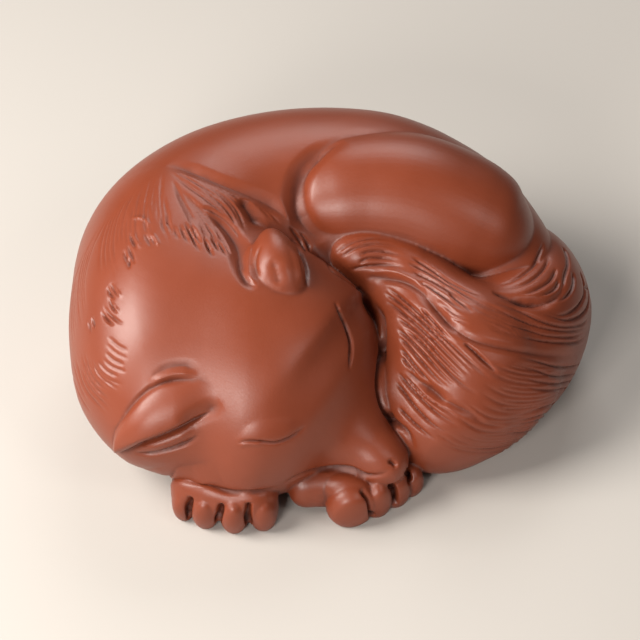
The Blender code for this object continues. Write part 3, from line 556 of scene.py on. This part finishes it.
# Hairs and partings on the same drawing: a drawn hair runs from its deep end to its fine end
fur = {
    "hairWidth": 0.56,
    "hairDepth": 0.68,
    "tailRidge": [
        (362, 273), (373, 272), (384, 271), (395, 272), (406, 276), (421, 284), (435, 294), (446, 302),
        (459, 309),
    ],
    "partings": [
        [(365, 277), (378, 278), (390, 279), (402, 281), (412, 285), (421, 291), (430, 301), (438, 310),
         (447, 320), (456, 329), (466, 336), (480, 342), (495, 346), (514, 350), (530, 353), (549, 356),
         (569, 356), (582, 352)],
        [(404, 368), (412, 377), (422, 385), (433, 393), (443, 400), (455, 406), (467, 412), (478, 419),
         (489, 427)],
        [(492, 292), (505, 296), (519, 301), (534, 303), (547, 302), (556, 298), (562, 292), (563, 280)],
    ],
    "deepest": [
        [(416, 287), (430, 301), (438, 310), (447, 320), (456, 329), (468, 337)],
        [(412, 377), (422, 385), (433, 393), (443, 400), (455, 406)],
        [(500, 295), (519, 301), (534, 303), (547, 302), (558, 297)],
    ],
    "tailTip": [
        [(336, 253), (349, 244), (364, 239), (378, 238), (394, 241)],
        [(341, 258), (352, 250), (366, 245), (382, 243), (398, 246)],
        [(360, 255), (368, 252), (380, 251), (391, 253), (404, 256)],
        [(358, 264), (367, 259), (378, 258), (390, 259), (400, 261)],
        [(350, 270), (359, 268), (371, 266), (384, 265), (397, 266), (406, 268)],
    ],
    "upperLock": [
        [(412, 257), (422, 263), (433, 270), (446, 279), (462, 288), (482, 296)],
        [(408, 262), (425, 270), (440, 279), (455, 288), (470, 297), (488, 305)],
        [(412, 271), (430, 279), (446, 288), (460, 297), (476, 306)],
        [(416, 281), (427, 286), (435, 291), (446, 298), (456, 305), (466, 311)],
        [(449, 292), (457, 299), (466, 306), (473, 313)],
        [(433, 298), (445, 306), (454, 313), (468, 319)],
        [(437, 305), (445, 312), (454, 318), (470, 325)],
    ],
    "upperFar": [
        [(588, 326), (579, 330), (564, 331), (549, 329), (534, 325), (519, 319), (504, 312), (490, 305),
         (474, 296)],
        [(589, 317), (584, 324), (569, 327), (554, 325), (539, 320), (524, 313), (509, 307), (494, 302)],
        [(585, 333), (574, 337), (559, 337), (544, 335), (529, 330), (512, 325), (494, 317), (482, 309)],
        [(586, 337), (579, 342), (564, 343), (549, 342), (532, 339), (505, 332)],
    ],
    "lowerLock": [
        [(421, 308), (435, 323), (445, 334), (456, 345)],
        [(464, 342), (474, 351), (484, 361), (495, 371)],
        [(470, 347), (481, 357), (490, 366), (498, 374)],
        [(387, 288), (400, 297), (411, 306), (421, 315), (430, 324), (440, 334), (454, 347), (468, 360),
         (482, 372), (492, 380)],
        [(384, 292), (395, 300), (406, 308), (416, 317), (426, 326), (437, 336), (450, 349), (463, 362),
         (476, 374)],
        [(386, 301), (395, 307), (404, 315), (413, 322), (424, 332), (435, 342), (447, 354), (459, 366),
         (471, 377)],
        [(397, 317), (406, 324), (416, 332), (426, 341), (436, 352), (447, 363), (457, 373), (466, 381)],
        [(404, 328), (413, 336), (424, 346), (433, 356), (443, 367), (452, 376), (464, 386), (480, 396)],
        [(397, 328), (406, 337), (416, 347), (426, 357), (436, 368), (446, 378), (457, 387)],
        [(399, 337), (409, 348), (419, 360), (429, 371), (439, 381), (449, 389)],
        [(400, 348), (408, 359), (418, 371), (430, 383), (441, 392)],
        [(401, 357), (410, 369), (421, 380)],
    ],
    "lowerFar": [
        [(582, 363), (574, 367), (559, 367), (544, 363), (529, 359), (514, 356)],
        [(578, 373), (569, 376), (554, 376), (539, 371), (524, 367), (509, 363)],
        [(577, 380), (562, 384), (541, 382), (517, 376)],
        [(576, 386), (560, 390), (541, 390), (520, 385)],
        [(571, 393), (555, 404), (534, 411), (515, 414)],
        [(562, 403), (546, 414), (527, 420), (510, 420)],
        [(560, 408), (541, 420), (527, 424), (509, 425)],
        [(548, 422), (534, 430), (520, 434), (506, 434), (492, 434)],
        [(541, 431), (520, 442), (499, 449), (481, 450), (464, 447), (447, 442)],
    ],
    "lowestLock": [
        [(402, 374), (412, 385), (424, 396), (437, 405), (449, 412), (462, 421)],
        [(398, 372), (408, 386), (419, 397), (432, 409), (441, 416), (451, 422), (461, 428)],
        [(396, 382), (404, 393), (412, 404), (423, 416), (433, 425), (441, 430), (452, 436)],
        [(398, 407), (408, 418), (419, 428), (428, 435), (437, 441)],
    ],
    "rumpLock": [
        [(544, 243), (539, 255), (534, 265), (526, 272), (514, 280), (498, 286)],
        [(549, 257), (545, 267), (536, 277), (522, 285), (507, 289)],
        [(557, 268), (551, 280), (541, 287), (527, 293), (513, 295)],
        [(560, 280), (555, 289), (545, 294), (534, 297)],
    ],
    "hooks": [
        [(563, 247), (567, 255), (568, 265), (565, 276), (563, 288), (561, 296)],
        [(573, 272), (574, 280), (572, 290), (566, 297), (552, 303)],
        [(580, 270), (584, 285), (584, 297), (577, 308), (562, 315), (545, 311)],
        [(587, 280), (589, 296), (587, 309), (581, 316), (569, 320), (554, 317), (538, 312)],
    ],
    "bandHair": [
        [(448, 282), (490, 304), (530, 320), (587, 329)],
        [(458, 300), (494, 318), (532, 331), (585, 339)],
        [(470, 318), (500, 332), (536, 341), (583, 348)],
    ],
    "lowerHair": [
        [(482, 350), (512, 362), (546, 367), (581, 361)],
        [(482, 368), (510, 382), (544, 385), (578, 376)],
        [(474, 384), (504, 402), (541, 402), (573, 388)],
        [(462, 398), (494, 417), (532, 414), (567, 398)],
        [(452, 412), (484, 431), (520, 429), (556, 412)],
        [(436, 420), (472, 443), (510, 442), (546, 424)],
        [(420, 424), (456, 449), (498, 452), (538, 434)],
    ],
    "outerTail": [  # behind the right side, in millimetres
        [(47, 6, 21), (47, 13, 21), (44, 22, 20), (40, 28, 19)],
        [(49, 4, 14), (49, 13, 14), (46, 23, 14), (41, 30, 14)],
        [(47, -2, 7), (48, 11, 7), (46, 23, 8), (41, 30, 9)],
        [(43, -8, 2), (46, 8, 2), (45, 22, 3), (40, 29, 5)],
    ],
    "maneEdge": [(168, 164), (191, 170), (217, 181), (244, 192), (268, 204), (291, 222), (306, 238)],
    "maneHollows": [
        [(201, 211), (216, 218), (229, 230), (237, 242), (241, 258), (246, 272), (255, 285)],
        [(240, 196), (251, 211), (260, 227)],
    ],
    "lockEdge": [(196, 207), (210, 210), (224, 218), (236, 230), (243, 242)],
    "tufts": [
        [(129, 232), (132, 240), (137, 249)],
        [(127, 244), (131, 254), (135, 264)],
        [(129, 256), (129, 262), (130, 269)],
        [(144, 232), (148, 240), (152, 248)],
        [(149, 235), (153, 241), (157, 247)],
        [(124, 250), (126, 258), (129, 265)],
        [(168, 209), (168, 223), (173, 233)],
        [(174, 226), (176, 233), (180, 240)],
        [(162, 214), (163, 226), (167, 236)],
        [(185, 222), (192, 236), (200, 252)],
        [(190, 222), (196, 235), (202, 246)],
        [(180, 224), (185, 236), (190, 244)],
        [(196, 211), (206, 224), (217, 242), (226, 253)],
        [(204, 236), (208, 246), (213, 257)],
        [(210, 234), (215, 243), (220, 252)],
        [(216, 236), (221, 245), (227, 256)],
        [(222, 237), (227, 247), (232, 259)],
        [(110, 283), (114, 290), (119, 297)],
        [(107, 287), (110, 294), (115, 300)],
        [(108, 296), (111, 304), (115, 312)],
        [(109, 300), (113, 308), (117, 314)],
        [(103, 306), (109, 314), (116, 320), (124, 325)],
        [(101, 311), (107, 320), (114, 326)],
        [(88, 319), (89, 326), (92, 333)],
        [(92, 316), (93, 322), (95, 329)],
    ],
    "tuftRims": [
        [(131, 218), (143, 219), (152, 227)], [(133, 233), (137, 241), (141, 249)],
        [(152, 233), (156, 240), (159, 247)], [(113, 286), (117, 292), (122, 297)],
        [(112, 303), (116, 309), (120, 313)],
    ],
    "neck": [
        [(107, 336), (117, 345), (130, 352)], [(104, 348), (115, 358), (128, 364)],
        [(96, 352), (108, 366), (127, 374)], [(92, 362), (105, 377), (126, 386)],
        [(88, 350), (97, 375), (123, 395)], [(83, 345), (90, 374), (119, 403)],
        [(78, 348), (88, 383), (115, 412)], [(73, 352), (84, 390), (110, 420)],
        [(71, 372), (84, 403), (106, 427)],
    ],
    "nape": [
        [(112, 212), (92, 250), (84, 290), (88, 318)], [(98, 228), (80, 265), (76, 300), (82, 340)],
        [(88, 245), (72, 290), (70, 330), (74, 366)],
    ],
    "lockHair": [
        [(168, 169), (185, 184), (203, 197), (222, 213), (238, 238)],
        [(172, 168), (196, 179), (217, 192), (233, 208), (244, 234)],
        [(182, 172), (208, 183), (232, 195), (248, 208), (256, 226)],
        [(230, 190), (250, 200), (270, 213), (284, 228)],
    ],
    "crownHair": [
        [(170, 178), (180, 200), (190, 220), (200, 246)],
        [(178, 186), (194, 206), (208, 226), (222, 256)],
        [(190, 196), (208, 214), (224, 234), (238, 268)],
    ],
    "templeHair": [
        [(165, 172), (164, 196), (168, 220), (176, 246)],
        [(154, 174), (146, 200), (145, 222), (150, 244)],
        [(140, 184), (126, 210), (122, 236), (127, 262)],
        [(124, 198), (106, 228), (100, 262), (106, 292)],
    ],
    "drawn": {  # how deep each lock's drawn hairs are, as a share of hairDepth
        "tailTip": 0.7, "upperLock": 0.9, "upperFar": 0.9, "lowerLock": 1.25, "lowerFar": 0.9,
        "lowestLock": 1.1, "rumpLock": 0.8, "hooks": 1.0,
    },
    "between": {  # hairs between the drawn ones: how many, share of hairDepth, shortest share of the length
        "outerTail": (14, 0.7, 1), "neck": (14, 0.36, 0.6), "nape": (9, 0.25, 0.5),
        "lockHair": (14, 0.5, 0.5), "crownHair": (16, 0.5, 0.5), "templeHair": (16, 0.3, 0.4),
        "bandHair": (14, 0.4, 0.4), "lowerHair": (26, 0.45, 0.4),
    },
    "ridgeSize": (0.9, 0.4),  # width and depth or height in millimetres, as in the rows below
    "partingSize": (1.3, 0.8),
    "deepestSize": (1.8, 1.7),
    "maneEdgeSize": (2.2, 0.8),
    "hollowSize": (2.4, 1.1),
    "lockEdgeSize": (0.8, 0.7),
    "tuftRimSize": (0.6, 0.3),
    "tuftWidth": 0.5,
    "tuftDepths": (0.35, 0.75),
    "widthRange": (0.85, 1.15),  # how much one hair differs from the next
    "depthRange": (0.7, 1.2),
    "seed": 5,
}


def carveFace(carving):
    carving.swell(face["earTop"], face["earSlit"], face["earSwell"], tips=(0.06, 0.45))
    carving.swell(face["leftLid"], face["leftEye"], face["lidSwell"], fullest=0.85, tips=(0.3, 0.3))
    for name, (width, height) in face["raised"].items():
        carving.stroke(face[name], width, height, raised=True, power=1.0)
    for name, (width, depth) in face["cut"].items():
        carving.stroke(face[name], width, depth)
    for fold in face["earFolds"]:
        carving.stroke(fold, face["foldWidth"], face["foldDepth"])
    for gap in face["toeGaps"]:
        carving.stroke(gap, face["toeGapWidth"], face["toeGapDepth"], tips=(0.15, 0.02), power=1.0)
    carving.stroke(face["nostril"], face["nostrilWidth"], face["nostrilDepth"], tips=None)
    print("carved the face, ears and paws")


def carveFur(carving):
    carving.stroke(fur["maneEdge"], *fur["maneEdgeSize"], tips=(0.15, 0.3), power=1.2)
    carving.stroke(fur["tailRidge"], *fur["ridgeSize"], raised=True)
    for parting in fur["partings"]:
        carving.stroke(parting, *fur["partingSize"], steps=60, tips=(0.1, 0.3))
    for parting in fur["deepest"]:
        carving.stroke(parting, *fur["deepestSize"], tips=(0.4, 0.4))
    for hollow in fur["maneHollows"]:
        carving.stroke(hollow, *fur["hollowSize"], power=1.2)
    carving.stroke(fur["lockEdge"], *fur["lockEdgeSize"], tips=(0.3, 0.15))
    for rim in fur["tuftRims"]:
        carving.stroke(rim, *fur["tuftRimSize"], raised=True)
    chance = np.random.default_rng(fur["seed"])
    for tuft in fur["tufts"]:
        carving.stroke(tuft, fur["tuftWidth"], chance.uniform(*fur["tuftDepths"]), steps=12, tips=(0.4, 0.4))
    for name, fullness in fur["drawn"].items():
        for hair in fur[name]:
            carving.stroke(hair, fur["hairWidth"], fur["hairDepth"] * fullness, steps=40, tips=(0.12, 0.45))
    for name, (count, fullness, shortest) in fur["between"].items():
        for hair in hairsBetween(fur[name], count):
            reach = chance.uniform(shortest, 1)
            begin = chance.uniform(0, 1 - reach)
            width = fur["hairWidth"] * chance.uniform(*fur["widthRange"])
            depth = fur["hairDepth"] * fullness * chance.uniform(*fur["depthRange"])
            carving.stroke(hair, width, depth, steps=36, span=(begin, begin + reach))
        print("carved", name)


# The fur of the neck stands up behind its edge, which starts at a point on the spine
mane = {
    "point": Vector((-31, 14.6, 42)),
    "inner": Vector((-0.448, -0.853, -0.269)),
    "outer": Vector((-0.354, -0.692, 0.629)),
    "step": 0.9,
    "rise": 1.6,
    "fade": 9.0,
    "spread": 12.0,
    "reach": 0.9,  # how far off the bare torso the lift still works
}


def raiseMane(carving, torsoTree):
    point = mane["point"] * mm
    ahead = (carving.points - point) @ mane["inner"] / mm
    beside = np.clip((carving.points - point) @ mane["outer"] / mm / mane["spread"], 0, 1)
    lift = np.clip(ahead / mane["rise"], 0, 1) * np.exp(-np.clip(ahead, 0, None) / mane["fade"]) * beside
    for index in np.nonzero(lift > 0)[0]:
        away = torsoTree.find_nearest(Vector(carving.points[index]))[3]
        lift[index] *= max(0.0, 1.0 - away / (mane["reach"] * mm))
    carving.raised += lift * mane["step"] * mm


def cutLevel(piece, level=0.0, closed=True, threshold=1e-6):
    pickOnly(piece)
    bpy.ops.object.mode_set(mode="EDIT")
    bpy.ops.mesh.select_all(action="SELECT")
    bpy.ops.mesh.bisect(plane_co=(0, 0, level), plane_no=(0, 0, -1), clear_outer=True, threshold=threshold)
    if closed:
        bpy.ops.mesh.select_all(action="DESELECT")
        bpy.ops.mesh.select_mode(type="EDGE")
        bpy.ops.mesh.select_non_manifold(extend=False, use_wire=False, use_multi_face=False,
                                         use_non_contiguous=False, use_verts=False)
        bpy.ops.mesh.fill_holes(sides=0)
    bpy.ops.object.mode_set(mode="OBJECT")


fox = {
    "headVoxel": 1.0,
    "headRounds": 6,
    "tailVoxel": 1.2,
    "tailRounds": 8,
    "voxel": 0.25,
    "rounds": 3,
    "trimLevel": -1.5,  # where the forms are cut before the carving
    "finishRounds": 2,
    "triangles": 190000,  # before the foot is cut
}

# Where the neck runs into the cheek, as places on the skin
seam = {
    "route": [
        (-24, 8, 41), (-24.5, -2, 41), (-25.5, -13, 37), (-24.5, -22, 30), (-24.5, -28, 22), (-27, -31, 12),
    ],
    "reach": 11.0,
    "fullness": 1.4,
    "rounds": 160,
}


def blended(piece):
    points = coordinates(piece.data)
    route = alongRoute(np.array(seam["route"]) * mm, 60)
    away = np.min(np.linalg.norm(points[:, None, :] - route[None], axis=2), axis=1)
    weights = np.clip(seam["fullness"] * (1 - away / (seam["reach"] * mm)), 0, 1)
    group = piece.vertex_groups.new(name="seam")
    for index in np.nonzero(weights)[0]:
        group.add([int(index)], float(weights[index]), "REPLACE")
    applied(piece, "SMOOTH", factor=0.5, iterations=seam["rounds"], vertex_group="seam")
    piece.vertex_groups.clear()
    return piece


def makeBody():
    headForms = [makeTorso(), *makeFilling(), makeSkull()]
    headPart = blended(pressedTogether("head", headForms, fox["headVoxel"] * mm, fox["headRounds"]))
    tailPart = pressedTogether("tail", makeTail(), fox["tailVoxel"] * mm, fox["tailRounds"])
    parts = [headPart, makeRightEar(), makeHaunch(), tailPart, *makePaws()]
    return pressedTogether("sleepingFox", parts, fox["voxel"] * mm, fox["rounds"])


def makeFox():
    bareTorso = makeTorso()
    torsoTree = treeOf(bareTorso.data)
    bpy.data.objects.remove(bareTorso)
    piece = makeBody()
    print("forms pressed together:", len(piece.data.polygons), "faces")
    cutLevel(piece, fox["trimLevel"] * mm, closed=False)
    carving = Carving(piece)
    carveFace(carving)
    carveFur(carving)
    raiseMane(carving, torsoTree)
    carving.settle()
    applied(piece, "SMOOTH", factor=0.5, iterations=fox["finishRounds"])
    faces = sum(len(facet.vertices) - 2 for facet in piece.data.polygons)
    applied(piece, "DECIMATE", ratio=fox["triangles"] / faces)
    cutLevel(piece)
    low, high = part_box("sleeping_fox")
    points = coordinates(piece.data)
    shift = (np.array(low + high) - points.min(axis=0) - points.max(axis=0)) / 2
    shift[2] = 0
    setCoordinates(piece.data, points + shift)
    print("fox finished:", len(piece.data.polygons), "faces")
    return piece, Vector(shift)


foxPiece, foxShift = makeFox()


# Clay

class Wire:  # a node's output, which can be used in plain sums
    def __init__(self, tree, socket=None):
        self.tree = tree
        self.socket = socket

    def node(self, kind, settings=None, sockets=None, output=0):
        made = self.tree.nodes.new(kind)
        for name, value in (settings or {}).items():
            setattr(made, name, value)
        for name, value in (sockets or {}).items():
            if isinstance(value, Wire):
                self.tree.links.new(value.socket, made.inputs[name])
            else:
                made.inputs[name].default_value = value
        return Wire(self.tree, made.outputs[output])

    def sum(self, operation, first, second):
        return self.node("ShaderNodeMath", {"operation": operation}, {0: first, 1: second})

    def __add__(self, other):
        return self.sum("ADD", self, other)

    def __sub__(self, other):
        return self.sum("SUBTRACT", self, other)

    def __rsub__(self, other):
        return self.sum("SUBTRACT", other, self)

    def __mul__(self, other):
        return self.sum("MULTIPLY", self, other)

    __radd__ = __add__
    __rmul__ = __mul__


clay = {
    "light": (0.222, 0.043, 0.015, 1),
    "dark": (0.165, 0.031, 0.011, 1),
    # painted shade: the near-black colour that the grooves are darkened towards
    "crease": (0.045, 0.009, 0.005, 1),
    "creaseShare": 0.6,
    "roughness": 0.40,
    "creaseRoughness": 0.2,
    "cloudRoughness": 0.15,
    "grainRoughness": 0.12,
    "cloudScale": 55.0,
    "grainSize": 0.35,
    "speckleScale": 2600.0,
    "grainHeight": 0.7,
    "speckleHeight": 0.3,
    "bump": 0.2,
    "bumpDistance": 0.0001,
}


def makeClay():
    material = bpy.data.materials.new("redClay")
    material.use_nodes = True
    tree = material.node_tree
    surface = tree.nodes["Principled BSDF"]
    start = Wire(tree)
    place = start.node("ShaderNodeTexCoord", output=3)
    cloudy = start.node("ShaderNodeTexNoise", {}, {
        "Vector": place, "Scale": clay["cloudScale"], "Detail": 4.0, "Roughness": 0.6,
    })
    grain = start.node("ShaderNodeTexNoise", {}, {
        "Vector": place, "Scale": 1 / (clay["grainSize"] * mm), "Detail": 3.0,
    })
    speckle = start.node("ShaderNodeTexNoise", {}, {
        "Vector": place, "Scale": clay["speckleScale"], "Detail": 2.0,
    })
    groove = start.node("ShaderNodeAttribute", {"attribute_name": "groove"}, output=2)
    body = start.node("ShaderNodeMix", {"data_type": "RGBA"}, {
        0: cloudy, 6: clay["dark"], 7: clay["light"],
    }, output=2)
    # painted shade: the clay colour is mixed towards the dark groove colour where the skin lies below its
    # surroundings
    shadedColour = start.node("ShaderNodeMix", {"data_type": "RGBA"}, {
        0: groove * clay["creaseShare"], 6: body, 7: clay["crease"],
    }, output=2)
    tree.links.new(shadedColour.socket, surface.inputs["Base Color"])
    uneven = (grain - 0.5) * clay["grainRoughness"] + (cloudy - 0.5) * clay["cloudRoughness"]
    roughness = uneven + groove * clay["creaseRoughness"] + clay["roughness"]
    tree.links.new(roughness.socket, surface.inputs["Roughness"])
    height = grain * clay["grainHeight"] + speckle * clay["speckleHeight"]
    bump = start.node("ShaderNodeBump", {}, {
        "Strength": clay["bump"], "Distance": clay["bumpDistance"], "Height": height,
    })
    tree.links.new(bump.socket, surface.inputs["Normal"])
    return material


# How deep each place lies below its surroundings, kept on the mesh to paint shade into the clay's colour in
# the grooves and to roughen them
def markGrooves(piece, rounds=12, full=0.25):
    mesh = piece.data
    points = coordinates(mesh)
    normals = normalsOf(mesh)
    edges = np.empty(len(mesh.edges) * 2, np.int64)
    mesh.edges.foreach_get("vertices", edges)
    edges = edges.reshape(-1, 2)
    counts = np.bincount(edges.ravel(), minlength=len(points))[:, None]
    smooth = points.copy()
    for _ in range(rounds):
        total = np.zeros_like(smooth)
        for axis in range(3):
            total[:, axis] = np.bincount(edges[:, 0], smooth[edges[:, 1], axis], len(points))
            total[:, axis] += np.bincount(edges[:, 1], smooth[edges[:, 0], axis], len(points))
        smooth = total / counts
    below = ((smooth - points) * normals).sum(axis=1) / (full * mm)
    groove = mesh.attributes.new("groove", "FLOAT", "POINT")
    groove.data.foreach_set("value", np.clip(below, 0, 1).astype(np.float32))


markGrooves(foxPiece)
pickOnly(foxPiece)
bpy.ops.object.shade_smooth_by_angle(angle=math.radians(60))
foxPiece.data.materials.append(makeClay())
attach(foxPiece, "root")
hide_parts("sleeping_fox")
print("clay applied")


# Table

table = {
    "size": 3.0,
    "colour": (0.49, 0.465, 0.43, 1),
    "roughness": 0.8,
}


def makeTable():
    bpy.ops.object.select_all(action="DESELECT")
    bpy.ops.mesh.primitive_plane_add(size=table["size"], location=(0, 0, 0))
    top = bpy.context.object
    top.name = "table"
    paint = bpy.data.materials.new("tablePaint")
    paint.use_nodes = True
    surface = paint.node_tree.nodes["Principled BSDF"]
    surface.inputs["Base Color"].default_value = table["colour"]
    surface.inputs["Roughness"].default_value = table["roughness"]
    top.data.materials.append(paint)


makeTable()


# Light

lamps = {
    "side": {"place": (-0.36, -0.07, 0.34), "size": 0.28, "power": 4.1, "colour": (1.0, 0.95, 0.90)},
    "front": {"place": (-0.17, -0.43, 0.25), "size": 0.14, "power": 1.7, "colour": (1.0, 0.95, 0.91)},
    "ceiling": {"place": (0.36, -0.30, 0.48), "size": 0.20, "power": 0.6, "colour": (1.0, 0.96, 0.93)},
    "window": {"place": (0.06, 0.50, 0.50), "size": 0.34, "power": 1.6, "colour": (1.0, 0.98, 0.97)},
}
room = {"colour": (1.0, 0.96, 0.92, 1), "strength": 0.08, "aim": Vector((0, 0, 0.02))}


def makeLight():
    for name, lamp in lamps.items():
        bpy.ops.object.light_add(type="AREA", location=lamp["place"])
        light = bpy.context.object
        light.name = name
        light.data.size = lamp["size"]
        light.data.energy = lamp["power"]
        light.data.color = lamp["colour"]
        aim = room["aim"] - Vector(lamp["place"])
        light.rotation_mode = "QUATERNION"
        light.rotation_quaternion = aim.to_track_quat("-Z", "Y")
    world = bpy.data.worlds.new("room")
    world.use_nodes = True
    bpy.context.scene.world = world
    background = world.node_tree.nodes["Background"]
    background.inputs[0].default_value = room["colour"]
    background.inputs[1].default_value = room["strength"]


makeLight()


# Camera

lens = {"focalLength": 135.0, "sensor": 36.0}


def makeCamera():
    target = drawing["centre"] + foxShift
    bpy.ops.object.camera_add(location=target + sightBack * drawing["distance"])
    camera = bpy.context.object
    camera.data.lens = lens["focalLength"]
    camera.data.sensor_width = lens["sensor"]
    camera.rotation_mode = "QUATERNION"
    camera.rotation_quaternion = (-sightBack).to_track_quat("-Z", "Y")
    bpy.context.scene.camera = camera


makeCamera()
bpy.context.scene.view_settings.view_transform = "Standard"
print("table, light and camera placed")
